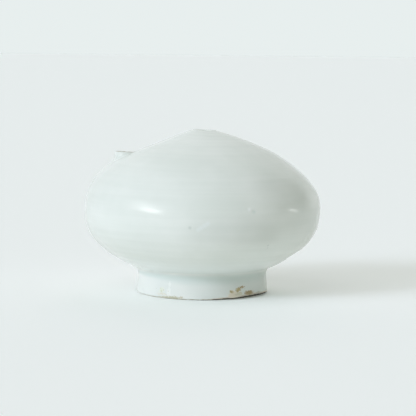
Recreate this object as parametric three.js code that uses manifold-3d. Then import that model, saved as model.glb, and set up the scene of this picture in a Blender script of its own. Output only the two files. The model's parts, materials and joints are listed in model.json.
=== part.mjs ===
// A porcelain water dropper for a calligraphy desk: a squat onion-shaped vessel on a foot ring,
// with a filling hole in its tip and a stub of a spout on its shoulder.
// Millimetres, +Z up. The origin is the middle of the foot's resting face, and the spout is on the -X side.
// It is put together as a potter does it: two thrown halves, a foot ring and a spout, joined with slip.
import * as THREE from 'three';
import { mergeVertices } from 'three/addons/utils/BufferGeometryUtils.js';
import Module from 'manifold-3d';

// Body: two thrown halves, rim to rim at the belly
const BELLY_RADIUS = 45; // widest point, outside
const WALL = 3.4; // thickness of both thrown halves
const DOME_HEIGHT = 31.4; // from the dome's rim to the flat tip
const BOWL_HEIGHT = 20.9; // from the foot seat to the bowl's rim
const FLOOR = 4.2; // thickness of the bowl's floor above the foot seat
const TIP_RADIUS = 4.2; // the flat tip round the filling hole
const FILLING_HOLE_RADIUS = 3.1; // the same hole lets air in while water drips
const DISH_DEPTH = 0.8; // how far the underside is turned hollow inside the foot

// Body curve: each half is one cubic curve, and these are its slopes and how far it keeps to them
const TIP_SLOPE = THREE.MathUtils.degToRad(17);
const TIP_RUN = 20.4;
const SHOULDER_RUN = 17.5;
const HIP_RUN = 10.7;
const TUCK_SLOPE = THREE.MathUtils.degToRad(20);
const TUCK_RUN = 9.3;

// Foot ring
const FOOT_HEIGHT = 8.9;
const FOOT_TOP_RADIUS = 24.5;
const FOOT_RIM_RADIUS = 25.2;
const FOOT_WALL = 4;
const FOOT_EDGE = 0.6; // the rounded edges of the resting face

// Spout: a short tube set into a hole in the shoulder, its mouth cut level
const SPOUT_INSET = 15.6; // from the belly's side in to the spout's axis
const SPOUT_RADIUS = 4.2;
const SPOUT_BORE_RADIUS = 3;
const SPOUT_RISE = 2.1; // the mouth above the shoulder, at the spout's axis
const SPOUT_LIP = 0.35; // the rounded edge of the mouth

// Slip: the liquid clay that joins the pieces
const SEAM_SLIP = 0.5; // thickness in the belly and foot seams
const SPOUT_CLEARANCE = 0.3; // round the spout in its hole, and under its collar
const COLLAR_THICKNESS = 1.3; // the slip smoothed against the spout, above the shoulder
const COLLAR_WIDTH = 2; // how far it spreads from the spout
const COLLAR_EDGE = 0.25; // its thickness where it runs out

// Facets
const TURN_SEGMENTS = 60;
const SMALL_TURN_SEGMENTS = 32;
const CURVE_STEPS = 16;
const EDGE_STEPS = 3;

// Heights and places that follow from the pieces standing on each other
const SEAT_Z = FOOT_HEIGHT + SEAM_SLIP;
const BOWL_RIM_Z = SEAT_Z + BOWL_HEIGHT;
const DOME_RIM_Z = BOWL_RIM_Z + SEAM_SLIP;
const TIP_Z = DOME_RIM_Z + DOME_HEIGHT;
const FLOOR_Z = SEAT_Z + FLOOR;
const SPOUT_REACH = BELLY_RADIUS - SPOUT_INSET;
const CUT = WALL; // how far a cutting tool runs past the clay

const wasm = await Module();
wasm.setup();

const point = (radius, height) => new THREE.Vector2(radius, height);

// A closed section turned about the Z axis.
function turn(section, segments = TURN_SEGMENTS) {
  return new THREE.LatheGeometry(section, segments).rotateX(Math.PI / 2);
}

// A ring section that closes on itself before it is turned.
function turnRing(section, segments) {
  return turn([...section, section[0]], segments);
}

function solidOf(geometry) {
  const bare = geometry.clone();
  bare.deleteAttribute('normal');
  bare.deleteAttribute('uv');
  const merged = mergeVertices(bare);
  return new wasm.Manifold(new wasm.Mesh({
    numProp: 3,
    vertProperties: merged.getAttribute('position').array,
    triVerts: new Uint32Array(merged.index.array),
  }));
}

function geometryOf(solid) {
  const { vertProperties, triVerts } = solid.getMesh();
  const geometry = new THREE.BufferGeometry();
  geometry.setAttribute('position', new THREE.BufferAttribute(vertProperties, 3));
  geometry.setIndex(new THREE.BufferAttribute(triVerts, 1));
  geometry.computeVertexNormals();
  return geometry;
}

// A closed loop of equal sections, each listed counter-clockwise as seen when looking along the loop.
function loopGeometry(vertices, sections) {
  const corners = vertices.length / 3 / sections;
  const at = (section, corner) => (section % sections) * corners + (corner % corners);
  const faces = [];
  for (let section = 0; section < sections; section++) {
    for (let corner = 0; corner < corners; corner++) {
      const [near, nearNext] = [at(section, corner), at(section, corner + 1)];
      const [far, farNext] = [at(section + 1, corner), at(section + 1, corner + 1)];
      faces.push(near, far, farNext, near, farNext, nearNext);
    }
  }
  const geometry = new THREE.BufferGeometry();
  geometry.setAttribute('position', new THREE.Float32BufferAttribute(vertices, 3));
  geometry.setIndex(faces);
  geometry.computeVertexNormals();
  return geometry;
}

function rod(radius, low, high, x = 0) {
  const along = new THREE.CylinderGeometry(radius, radius, high - low, SMALL_TURN_SEGMENTS);
  return solidOf(along.rotateX(Math.PI / 2).translate(x, 0, (low + high) / 2));
}

// The outside of the dome, from the edge of the tip down to the belly.
function domeCurve() {
  const tip = point(TIP_RADIUS, TIP_Z);
  const belly = point(BELLY_RADIUS, DOME_RIM_Z);
  return new THREE.CubicBezierCurve(
    tip,
    point(tip.x + TIP_RUN * Math.cos(TIP_SLOPE), tip.y - TIP_RUN * Math.sin(TIP_SLOPE)),
    point(belly.x, belly.y + SHOULDER_RUN),
    belly,
  );
}

// The outside of the bowl, from the belly down to the corner above the foot.
function bowlCurve() {
  const belly = point(BELLY_RADIUS, BOWL_RIM_Z);
  const corner = point(FOOT_TOP_RADIUS, SEAT_Z);
  return new THREE.CubicBezierCurve(
    belly,
    point(belly.x, belly.y - HIP_RUN),
    point(corner.x + TUCK_RUN * Math.cos(TUCK_SLOPE), corner.y + TUCK_RUN * Math.sin(TUCK_SLOPE)),
    corner,
  );
}

// The direction of a cubic curve, exact at its ends so that the rims come out flat.
function directionAt(curve, along) {
  const leaving = curve.v1.clone().sub(curve.v0).multiplyScalar((1 - along) ** 2);
  const passing = curve.v2.clone().sub(curve.v1).multiplyScalar(2 * (1 - along) * along);
  const arriving = curve.v3.clone().sub(curve.v2).multiplyScalar(along ** 2);
  return leaving.add(passing).add(arriving).normalize();
}

// A curve's points moved out of the clay by a distance, or into it where the distance is negative.
function offsetPoints(curve, distance) {
  return Array.from({ length: CURVE_STEPS + 1 }, (_, step) => {
    const along = step / CURVE_STEPS;
    const place = curve.getPoint(along);
    const direction = directionAt(curve, along);
    return point(place.x - direction.y * distance, place.y + direction.x * distance);
  });
}

// The height of a falling line of points at a given radius.
function heightAt(points, radius) {
  const next = points.findIndex((place) => place.x >= radius);
  const [high, low] = [points[next - 1], points[next]];
  return THREE.MathUtils.mapLinear(radius, high.x, low.x, high.y, low.y);
}

// The round edge from one direction to another about a centre, angles from the +radius direction.
function roundEdge(centre, radius, from, to) {
  return Array.from({ length: EDGE_STEPS + 1 }, (_, step) => {
    const angle = THREE.MathUtils.lerp(from, to, step / EDGE_STEPS);
    return point(centre.x + radius * Math.cos(angle), centre.y + radius * Math.sin(angle));
  });
}

// A solid dome whose surface lies a distance outside the thrown one, filled down to the belly.
function domeSolid(distance) {
  const outside = offsetPoints(domeCurve(), distance);
  const peak = point(0, outside[0].y);
  return solidOf(turn([point(0, DOME_RIM_Z), ...outside.reverse(), peak]));
}

function upperDome() {
  const outside = offsetPoints(domeCurve(), 0);
  const inside = offsetPoints(domeCurve(), -WALL);
  const ceiling = point(0, inside[0].y);
  const shell = solidOf(turn([ceiling, ...inside, ...outside.reverse(), point(0, TIP_Z)]));
  const fillingHole = rod(FILLING_HOLE_RADIUS, ceiling.y - CUT, TIP_Z + CUT);
  const socketRadius = SPOUT_RADIUS + SPOUT_CLEARANCE;
  const socket = rod(socketRadius, DOME_RIM_Z + CUT, spoutMouthZ() + CUT, -SPOUT_REACH);
  return geometryOf(shell.subtract(fillingHole).subtract(socket));
}

function lowerBowl() {
  const outside = offsetPoints(bowlCurve(), 0);
  const inside = offsetPoints(bowlCurve(), -WALL).filter((place) => place.y > FLOOR_Z);
  const footBore = FOOT_TOP_RADIUS - FOOT_WALL;
  return turn([
    point(0, SEAT_Z + DISH_DEPTH),
    point(footBore / 2, SEAT_Z + DISH_DEPTH),
    point(footBore, SEAT_Z),
    ...outside.reverse(),
    ...inside,
    point(inside.at(-1).x - FLOOR, FLOOR_Z),
    point(0, FLOOR_Z),
  ]);
}

function footRing() {
  const rimBore = FOOT_RIM_RADIUS - FOOT_WALL;
  const outerEdge = point(FOOT_RIM_RADIUS - FOOT_EDGE, FOOT_EDGE);
  const innerEdge = point(rimBore + FOOT_EDGE, FOOT_EDGE);
  return turnRing([
    point(FOOT_TOP_RADIUS - FOOT_WALL, FOOT_HEIGHT),
    ...roundEdge(innerEdge, FOOT_EDGE, Math.PI, Math.PI * 1.5),
    ...roundEdge(outerEdge, FOOT_EDGE, Math.PI * 1.5, Math.PI * 2),
    point(FOOT_TOP_RADIUS, FOOT_HEIGHT),
  ]);
}

// Slip in the belly seam: wiped flush outside, with a bead inside where no finger reaches.
function bellySlip() {
  const bead = SEAM_SLIP / 2;
  return turnRing([
    ...roundEdge(point(BELLY_RADIUS - WALL, BOWL_RIM_Z + bead), bead, Math.PI / 2, Math.PI * 1.5),
    point(BELLY_RADIUS, BOWL_RIM_Z),
    point(BELLY_RADIUS, DOME_RIM_Z),
  ]);
}

// Slip in the foot seam: squeezed out into a bead on both sides.
function footSlip() {
  const bead = SEAM_SLIP / 2;
  const inner = FOOT_TOP_RADIUS - FOOT_WALL;
  return turnRing([
    ...roundEdge(point(inner, FOOT_HEIGHT + bead), bead, Math.PI / 2, Math.PI * 1.5),
    ...roundEdge(point(FOOT_TOP_RADIUS, FOOT_HEIGHT + bead), bead, -Math.PI / 2, Math.PI / 2),
  ]);
}

function spoutMouthZ() {
  return heightAt(offsetPoints(domeCurve(), 0), SPOUT_REACH) + SPOUT_RISE;
}

// The spout is cut off inside the vessel along the inner face of the shoulder.
function spout() {
  const mouthZ = spoutMouthZ();
  const outerLip = point(SPOUT_RADIUS - SPOUT_LIP, mouthZ - SPOUT_LIP);
  const innerLip = point(SPOUT_BORE_RADIUS + SPOUT_LIP, mouthZ - SPOUT_LIP);
  const tube = turnRing([
    point(SPOUT_BORE_RADIUS, DOME_RIM_Z + CUT),
    point(SPOUT_RADIUS, DOME_RIM_Z + CUT),
    ...roundEdge(outerLip, SPOUT_LIP, 0, Math.PI / 2),
    ...roundEdge(innerLip, SPOUT_LIP, Math.PI / 2, Math.PI),
  ], SMALL_TURN_SEGMENTS);
  return geometryOf(solidOf(tube.translate(-SPOUT_REACH, 0, 0)).subtract(domeSolid(-WALL)));
}

// The collar of slip lies on the shoulder round the spout, and thins out where the mouth is near the shoulder.
function spoutSlip() {
  const shoulder = offsetPoints(domeCurve(), 0);
  const inner = SPOUT_RADIUS + SPOUT_CLEARANCE;
  const top = spoutMouthZ() - SPOUT_LIP;
  const vertices = [];
  for (let turned = 0; turned < SMALL_TURN_SEGMENTS; turned++) {
    const angle = (turned / SMALL_TURN_SEGMENTS) * Math.PI * 2;
    const corner = (reach, lift) => {
      const x = reach * Math.cos(angle) - SPOUT_REACH;
      const y = reach * Math.sin(angle);
      const ground = heightAt(shoulder, Math.hypot(x, y)) + SPOUT_CLEARANCE;
      const highest = Math.max(top - ground, COLLAR_EDGE);
      vertices.push(x, y, ground + Math.min(lift, highest));
    };
    corner(inner, 0);
    corner(inner + COLLAR_WIDTH, 0);
    corner(inner + COLLAR_WIDTH, COLLAR_EDGE);
    corner(inner + COLLAR_WIDTH / 2, (COLLAR_EDGE + COLLAR_THICKNESS) / 2);
    corner(inner, COLLAR_THICKNESS);
  }
  return loopGeometry(vertices, SMALL_TURN_SEGMENTS);
}

const glaze = new THREE.MeshStandardMaterial({ color: 0xdde5e1, roughness: 0.14, metalness: 0 });
const footGlaze = new THREE.MeshStandardMaterial({ color: 0xe6ebe8, roughness: 0.3, metalness: 0 });
const slipClay = new THREE.MeshStandardMaterial({ color: 0xd3dad5, roughness: 0.5, metalness: 0 });

const dropper = new THREE.Group();

function addPiece(name, geometry, material) {
  const piece = new THREE.Mesh(geometry, material);
  piece.name = name;
  dropper.add(piece);
}

addPiece('foot_ring', footRing(), footGlaze);
addPiece('foot_slip', footSlip(), slipClay);
addPiece('lower_bowl', lowerBowl(), glaze);
addPiece('belly_slip', bellySlip(), slipClay);
addPiece('upper_dome', upperDome(), glaze);
addPiece('spout', spout(), glaze);
addPiece('spout_slip', spoutSlip(), slipClay);

export default dropper;
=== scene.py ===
# %% [markdown]
# # A porcelain water dropper
#
# A water dropper stands beside an inkstone. It is filled through the hole in its tip, and a fingertip
# over that hole holds the water back until a drop is wanted at the spout. This one is thrown porcelain
# under a clear glaze with a breath of blue-green in it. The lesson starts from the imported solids, which
# give every size and place, and then makes the surface that the potter's hands and the kiln left on them.

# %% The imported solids
import json
import math
import random

import bmesh
import bpy
import numpy as np
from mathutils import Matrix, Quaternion, Vector, noise
from mathutils.geometry import interpolate_bezier

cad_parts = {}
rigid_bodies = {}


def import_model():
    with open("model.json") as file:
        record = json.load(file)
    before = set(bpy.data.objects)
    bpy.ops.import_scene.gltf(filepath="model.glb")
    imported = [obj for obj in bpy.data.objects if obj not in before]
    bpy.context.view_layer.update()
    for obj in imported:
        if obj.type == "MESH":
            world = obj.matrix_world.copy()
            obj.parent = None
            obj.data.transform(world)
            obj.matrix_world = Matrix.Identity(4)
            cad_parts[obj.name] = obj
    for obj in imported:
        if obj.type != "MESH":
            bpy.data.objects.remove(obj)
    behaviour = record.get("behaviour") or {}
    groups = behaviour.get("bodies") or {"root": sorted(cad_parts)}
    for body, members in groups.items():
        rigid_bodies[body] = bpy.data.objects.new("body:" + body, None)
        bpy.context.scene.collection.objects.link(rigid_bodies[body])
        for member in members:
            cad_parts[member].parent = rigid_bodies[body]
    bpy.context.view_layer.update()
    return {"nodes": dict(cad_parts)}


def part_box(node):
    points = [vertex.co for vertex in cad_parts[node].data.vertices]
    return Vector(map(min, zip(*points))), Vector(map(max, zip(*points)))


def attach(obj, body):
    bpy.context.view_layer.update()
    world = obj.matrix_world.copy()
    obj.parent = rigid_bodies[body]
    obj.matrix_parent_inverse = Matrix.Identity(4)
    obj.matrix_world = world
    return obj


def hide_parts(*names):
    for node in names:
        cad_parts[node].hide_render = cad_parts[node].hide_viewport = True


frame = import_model()
print("solids:", sorted(frame["nodes"]))

# %% [markdown]
# The solids are measured once, in millimetres, because a potter's sizes read better that way. What a box
# can't tell, such as a wall, a bore or the slope of a curve, is named here with the value that the solids
# have.

# %% Sizes in millimetres
MM = 0.001


def box_mm(node):
    low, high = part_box(node)
    return low / MM, high / MM


dome_low, dome_high = box_mm("upper_dome")
bowl_low, bowl_high = box_mm("lower_bowl")
_, foot_high = box_mm("foot_ring")
spout_low, spout_high = box_mm("spout")

BELLY_RADIUS = dome_high.x
TIP_Z = dome_high.z
DOME_RIM_Z = dome_low.z
BOWL_RIM_Z = bowl_high.z
SEAT_Z = bowl_low.z
FOOT_RIM_RADIUS = foot_high.x
SPOUT_X = (spout_low.x + spout_high.x) / 2
SPOUT_RADIUS = (spout_high.x - spout_low.x) / 2
MOUTH_Z = spout_high.z

WALL = 3.4
FLOOR = 4.2
TIP_RADIUS = 4.2
HOLE_RADIUS = 3.1
BORE_RADIUS = 3.0
SOCKET_RADIUS = SPOUT_RADIUS + 0.3
FOOT_TOP_RADIUS = 24.5
FOOT_WALL = 4.0
DISH_DEPTH = 0.8
TIP_SLOPE, TIP_RUN = math.radians(17), 20.4
SHOULDER_RUN, HIP_RUN = 17.5, 10.7
TUCK_SLOPE, TUCK_RUN = math.radians(20), 9.3
print(f"belly {2 * BELLY_RADIUS:.1f} mm wide, {TIP_Z:.1f} mm high")

# %% [markdown]
# The photograph looks down on the belly by about five degrees through a long lens, so the level rims of
# the tip and the spout shrink to thin lines while the foot still shows a shallow curve. The camera stands
# as far away as that needs, a little to the right of the axis, because the vessel sits left of the
# frame's middle. It was held by hand: the foot's edge runs downhill to the right, so the camera is turned
# by a little over half a degree.

# %% Camera
CAMERA_DISTANCE = 653
CAMERA_HEIGHT = 92.33
CAMERA_AIM_Z = 32.1
CAMERA_SIDE = 2.05
CAMERA_TURN = math.radians(0.62)
FIELD_OF_VIEW = math.radians(13.858)


def add_camera():
    stand = Vector((CAMERA_SIDE, -CAMERA_DISTANCE, CAMERA_HEIGHT)) * MM
    aim = Vector((CAMERA_SIDE, 0, CAMERA_AIM_Z)) * MM
    camera = bpy.data.objects.new("camera", bpy.data.cameras.new("camera"))
    camera.data.angle = FIELD_OF_VIEW
    camera.location = stand
    level = (aim - stand).to_track_quat("-Z", "Y")
    camera.rotation_euler = (level @ Quaternion((0, 0, 1), CAMERA_TURN)).to_euler()
    bpy.context.scene.collection.objects.link(camera)
    bpy.context.scene.camera = camera
    return camera


print("camera at", tuple(round(x, 3) for x in add_camera().location))

# %% [markdown]
# A thrown pot is a curve turned about an axis. It could be drawn as a handful of points under a Screw
# modifier, but the glaze mirrors every flat spot, so the curve is kept exact: two cubic curves, one for
# each thrown half, cut into short, equal steps.

# %% The thrown curve
STEP = 0.5
CURVE_POINTS = 200


def evenly(path, step=STEP):
    """The points of a path, taken again at equal steps along it."""
    path = np.asarray(path, float)
    along = np.concatenate([[0], np.cumsum(np.linalg.norm(np.diff(path, axis=0), axis=1))])
    places = np.linspace(0, along[-1], max(2, round(along[-1] / step) + 1))
    return np.column_stack([np.interp(places, along, path[:, axis]) for axis in (0, 1)])


def cubic(start, start_pull, end_pull, end):
    knots = [Vector(p) for p in (start, start_pull, end_pull, end)]
    return np.array(interpolate_bezier(*knots, CURVE_POINTS))


def arc(centre, radius, first, last, steps=5):
    """Points of a round edge, with its angles in degrees from the outward direction."""
    turns = np.radians(np.linspace(first, last, steps))
    return np.column_stack([centre[0] + radius * np.cos(turns), centre[1] + radius * np.sin(turns)])


def outward(path):
    """Unit normals of a path that runs up the outside of the pot."""
    run = np.gradient(path, axis=0)
    normals = np.column_stack([run[:, 1], -run[:, 0]])
    return normals / np.linalg.norm(normals, axis=1, keepdims=True)


dome_path = evenly(cubic(
    (BELLY_RADIUS, DOME_RIM_Z),
    (BELLY_RADIUS, DOME_RIM_Z + SHOULDER_RUN),
    (TIP_RADIUS + TIP_RUN * math.cos(TIP_SLOPE), TIP_Z - TIP_RUN * math.sin(TIP_SLOPE)),
    (TIP_RADIUS, TIP_Z),
))
bowl_path = evenly(cubic(
    (FOOT_TOP_RADIUS, SEAT_Z),
    (FOOT_TOP_RADIUS + TUCK_RUN * math.cos(TUCK_SLOPE), SEAT_Z + TUCK_RUN * math.sin(TUCK_SLOPE)),
    (BELLY_RADIUS, BOWL_RIM_Z - HIP_RUN),
    (BELLY_RADIUS, BOWL_RIM_Z),
))
print("curve steps:", len(bowl_path), "in the bowl,", len(dome_path), "in the dome")

# %% [markdown]
# Nothing thrown by hand is quite round. Fingers leave a faint spiral, the clay sways as it dries, and
# setting the spout pressed the shoulder in above it and out below it, which the outline shows. The right
# side came out tighter at the hip, fuller at the belly and beside the tip, and flatter at the shoulder,
# and the tip leans a little to the right. All this could be a Displace modifier, but as a function of
# place the spout can ask it where the surface is, and sit on it. The belly is drawn in by a hair, so that
# its sway stays within the true width.

# %% What the hands left
BELLY_Z = (DOME_RIM_Z + BOWL_RIM_Z) / 2
SPIRAL_PITCH, SPIRAL_DEPTH = 4.6, 0.014
SWAY_SIZE, SWAY_DEPTH, BELLY_ROOM = 26.0, 0.16, 0.1
DENT_X, DENT_SIZE, DENT_DEPTH = -18.5, 16.0, 0.8
SWELL_X, SWELL_SIZE, SWELL_HEIGHT = -37.5, 12.0, 0.6
RIGHT_SIDE = (
    # millimetres along the curve, size and height in millimetres
    (4.0, 9.0, -0.4),
    (37.0, 8.0, 0.42),
    (57.5, 18.0, -0.42),
    (97.0, 12.0, 0.36),
)
LEAN, LEAN_FROM, LEAN_TO = 0.35, 18.0, 4.0
TILT = math.tan(math.radians(3.4))
CALM_FROM, CALM_TO = 10.0, 15.0


def ramp(value, start, end):
    """A smooth rise from 0 at start to 1 at end."""
    share = np.clip((np.asarray(value, float) - start) / (end - start), 0, 1)
    return share * share * (3 - 2 * share)


def mound(distance, size):
    """A smooth round mound of height 1 that ends at a distance of size."""
    return np.maximum(0, 1 - (np.asarray(distance, float) / size) ** 2) ** 2


def slow_noise(places, size):
    return np.array([noise.noise(Vector(place) / size) for place in places])


def unevenness(places):
    """How far the surface lies outside the true curve at these places on it."""
    x, y, z = places.T
    climb = z + np.sign(z - BELLY_Z) * (BELLY_RADIUS - np.hypot(x, y))
    spiral = SPIRAL_DEPTH * np.sin(2 * np.pi * climb / SPIRAL_PITCH + np.arctan2(y, x))
    spiral = spiral * (1 + slow_noise(places, SWAY_SIZE))
    sway = SWAY_DEPTH * slow_noise(places + BELLY_RADIUS, SWAY_SIZE)
    sway = sway - BELLY_ROOM * mound(z - BELLY_Z, SWAY_SIZE / 2)
    dent = DENT_DEPTH * mound(np.hypot(x - DENT_X, y), DENT_SIZE)
    swell = SWELL_HEIGHT * mound(np.hypot(x - SWELL_X, y), SWELL_SIZE)
    shoulder = ramp(z, DOME_RIM_Z, DOME_RIM_Z + WALL)
    facing_right = np.maximum(0, x / np.hypot(x, y)) ** 2
    right = sum(height * mound(climb - place, size) for place, size, height in RIGHT_SIDE) * facing_right
    return (spiral + sway + right + (swell - dent) * shoulder) * ramp(z, CALM_FROM, CALM_TO)


def lean(places):
    """The tip, moved and tilted a little to the right without rising above the true height."""
    near_tip = ramp(np.hypot(places[:, 0], places[:, 1]), LEAN_FROM, LEAN_TO)
    near_tip = near_tip * ramp(places[:, 2], DOME_RIM_Z, TIP_Z - WALL)
    moved = places.copy()
    moved[:, 0] += LEAN * near_tip
    moved[:, 2] -= TILT * (places[:, 0] + TIP_RADIUS) * near_tip
    return moved


print("largest spout dent:", DENT_DEPTH, "mm")

# %% [markdown]
# Every piece here is a row of rings, so one helper makes the faces between rings and another makes the
# object. A few numbers travel with each corner of a mesh as attributes, for the finish to read: bare, where
# the glaze was wiped or worn off; pool and shade, where it ran together and looks deeper, together with
# painted shade in the corners where it pooled; underside light, painted light on the belly's underside as
# if from the bright floor below; and dirt and shade, where the foot's bottom edge is dark, partly burnt
# dirt and partly painted contact shade.

# %% Rings to meshes
COLUMNS = 256


def ring_faces(row_count, column_count, closed):
    """Faces between neighbouring rings, facing out where the rings climb the outside."""
    faces = []
    for row in range(row_count if closed else row_count - 1):
        above = (row + 1) % row_count
        for column in range(column_count):
            after = (column + 1) % column_count
            faces.append((
                row * column_count + column,
                row * column_count + after,
                above * column_count + after,
                above * column_count + column,
            ))
    return faces


def make_piece(name, corners, faces, **layers):
    mesh = bpy.data.meshes.new(name)
    mesh.from_pydata((np.asarray(corners) * MM).tolist(), [], faces)
    mesh.shade_smooth()
    for label, values in layers.items():
        layer = mesh.attributes.new(label, "FLOAT", "POINT")
        layer.data.foreach_set("value", np.ravel(values).astype(np.float32))
    piece = bpy.data.objects.new(name, mesh)
    bpy.context.scene.collection.objects.link(piece)
    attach(piece, "root")
    print(f"{name}: {len(mesh.vertices)} corners, {len(mesh.polygons)} faces")
    return piece


print("columns round the axis:", COLUMNS)

# %% [markdown]
# The two thrown halves and the slip between them disappear under one skin of glaze, so one closed mesh
# stands for all three. Its section runs along the underside, up the outside, over the flat tip, into the
# filling hole and down the inside to the floor. A Solidify modifier could give the inside, but the wall
# is thicker at the floor and the underside is turned to a shallow dish, so each stretch is drawn for
# itself.

# %% The body's section
FLOOR_Z = SEAT_Z + FLOOR
FLOOR_SHARES = (0.85, 0.6, 0.35, 0.1)
HOLE_EDGE = 0.5
UNDERSIDE_STEP = 2.0
DOME_STEPS = len(dome_path)


def underside():
    foot_bore = FOOT_TOP_RADIUS - FOOT_WALL
    radius = np.linspace(UNDERSIDE_STEP, foot_bore, round(foot_bore / UNDERSIDE_STEP))
    dish = np.column_stack([radius, SEAT_Z + DISH_DEPTH * (1 - (radius / foot_bore) ** 2)])
    return np.vstack([dish, [(FOOT_TOP_RADIUS - FOOT_WALL / 2, SEAT_Z)]])


def body_section():
    """The whole section of the body, and where its dome starts outside and inside."""
    tip_edge = arc((HOLE_RADIUS + HOLE_EDGE, TIP_Z - HOLE_EDGE), HOLE_EDGE, 90, 180)
    inner_dome = (dome_path - WALL * outward(dome_path))[::-1]
    inner_bowl = (bowl_path - WALL * outward(bowl_path))[::-1]
    inner_bowl = inner_bowl[inner_bowl[:, 1] > FLOOR_Z]
    floor = [(inner_bowl[-1, 0] * share, FLOOR_Z) for share in FLOOR_SHARES]
    stretches = [underside(), bowl_path, dome_path, tip_edge, inner_dome, inner_bowl, floor]
    starts = np.cumsum([0] + [len(stretch) for stretch in stretches])
    return np.vstack(stretches), starts[2], starts[4]


body_path, OUTER_START, INNER_START = body_section()
OUTSIDE = slice(OUTER_START - len(bowl_path), OUTER_START + DOME_STEPS)


def outer_row(step):
    """The ring of the outside that lies this many steps from the tip."""
    return OUTER_START + DOME_STEPS - 1 - step


print("rings of the body:", len(body_path))

# %% [markdown]
# The spout goes through a round hole in the shoulder. A Boolean could cut it, but that leaves slivers
# which the gloss would show. Here the cells of the mesh that lie over the hole are found, and then the
# edges round them.

# %% The hole for the spout
def over_spout():
    """The cells (step from the tip, column) of the dome that lie over the spout's hole."""
    angle = 2 * np.pi * (np.arange(COLUMNS) + 0.5) / COLUMNS
    cells = set()
    for step in range(DOME_STEPS - 1):
        row = outer_row(step)
        radius = (body_path[row, 0] + body_path[row - 1, 0]) / 2
        reach = np.hypot(radius * np.cos(angle) - SPOUT_X, radius * np.sin(angle))
        cells.update((step, int(column)) for column in np.nonzero(reach < SOCKET_RADIUS)[0])
    return cells


def rim_of(cells):
    """The edges round a group of cells, each as two (step, column) corners."""
    rim = []
    for step, column in cells:
        after = (column + 1) % COLUMNS
        sides = {
            (step - 1, column): ((step, after), (step, column)),
            (step + 1, column): ((step + 1, column), (step + 1, after)),
            (step, (column - 1) % COLUMNS): ((step, column), (step + 1, column)),
            (step, after): ((step + 1, after), (step, after)),
        }
        rim += [edge for neighbour, edge in sides.items() if neighbour not in cells]
    return rim


hole_cells = over_spout()
hole_rim = rim_of(hole_cells)
print("cells over the spout's hole:", len(hole_cells))

# %% [markdown]
# The corners of the body start as true rings. Leaving out whole cells gives the spout's hole a stepped
# edge. It could stay so under the spout's slip, but the wall of the hole would be jagged too, so the
# corners round it are moved onto its circle along the curve.

# %% The body's rings
def true_rings():
    """The angle, radius, height and normal of every corner on the true curve."""
    angle = np.tile(2 * np.pi * np.arange(COLUMNS) / COLUMNS, (len(body_path), 1))
    radius = np.repeat(body_path[:, :1], COLUMNS, axis=1)
    height = np.repeat(body_path[:, 1:], COLUMNS, axis=1)
    normal = np.repeat(outward(body_path)[:, None, :], COLUMNS, axis=1)
    return angle, radius, height, normal


def round_the_hole(angle, radius, height, normal):
    """Sets the corners round the spout's hole onto its circle."""
    rising = dome_path[::-1, 0]
    dome_normals = outward(dome_path)
    for step, column in {corner for edge in hole_rim for corner in edge}:
        row = outer_row(step)
        place = radius[row, column] * np.exp(1j * angle[row, column]) - SPOUT_X
        place = SPOUT_X + SOCKET_RADIUS * place / abs(place)
        radius[row, column] = abs(place)
        angle[row, column] = np.angle(place) % (2 * np.pi)
        height[row, column] = np.interp(abs(place), rising, dome_path[::-1, 1])
        for axis in (0, 1):
            normal[row, column, axis] = np.interp(abs(place), rising, dome_normals[::-1, axis])


rings = true_rings()
round_the_hole(*rings)
print("edges round the spout's hole:", len(hole_rim))

# %% [markdown]
# The potter's wall is measured square to the curve. Round the spout it could be so too, but then the hole
# would lean. There it is measured straight down, so that the hole is upright like the stub that fills it.

# %% The body's inside
UPRIGHT_REACH = 8.0
LEAST_UPWARD = 0.3


def hollow_inside(angle, radius, height, normal):
    """Sets the dome's inner face below its outer one."""
    for step in range(DOME_STEPS):
        row = outer_row(step)
        inner_row = INNER_START + step
        reach = np.abs(radius[row] * np.exp(1j * angle[row]) - SPOUT_X)
        upright = ramp(reach, SOCKET_RADIUS + UPRIGHT_REACH, SOCKET_RADIUS)
        drop = WALL / np.maximum(normal[row, :, 1], LEAST_UPWARD)
        radius[inner_row] = radius[row] - (1 - upright) * WALL * normal[row, :, 0]
        height[inner_row] = height[row] - (1 - upright) * WALL * normal[row, :, 1] - upright * drop
        angle[inner_row] = angle[row]


hollow_inside(*rings)
print("wall of the body:", WALL, "mm")

# %% [markdown]
# Now the outside takes what the hands left, each corner along its own normal, and the tip leans together
# with the inside of its hole.

# %% Shaped by hand
def shaped_by_hand(angle, radius, height, normal):
    """The corners in space, with the outside uneven and the tip leaning."""
    corners = np.stack([radius * np.cos(angle), radius * np.sin(angle), height], axis=-1)
    for row in range(OUTSIDE.start, OUTSIDE.stop):
        depth = unevenness(corners[row])[:, None]
        direction = np.column_stack([
            normal[row, :, 0] * np.cos(angle[row]),
            normal[row, :, 0] * np.sin(angle[row]),
            normal[row, :, 1],
        ])
        corners[row] += depth * direction
    return lean(corners.reshape(-1, 3))


body_corners = shaped_by_hand(*rings)
print("corners of the body:", len(body_corners))

# %% [markdown]
# The faces over the hole are left out, and its outer and inner rims are joined by a short wall. A fan of
# faces closes the middle of the underside, and another the middle of the floor.

# %% The body's faces
def open_shell():
    """Faces between the body's rings, with the spout's hole open and its rims joined."""
    left_out = set()
    for step, column in hole_cells:
        left_out.add((outer_row(step + 1), column))
        left_out.add((INNER_START + step, column))
    faces = [
        face for index, face in enumerate(ring_faces(len(body_path), COLUMNS, closed=False))
        if divmod(index, COLUMNS) not in left_out
    ]
    for (step_a, column_a), (step_b, column_b) in hole_rim:
        faces.append((
            outer_row(step_a) * COLUMNS + column_a,
            outer_row(step_b) * COLUMNS + column_b,
            (INNER_START + step_b) * COLUMNS + column_b,
            (INNER_START + step_a) * COLUMNS + column_a,
        ))
    return faces


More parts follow.
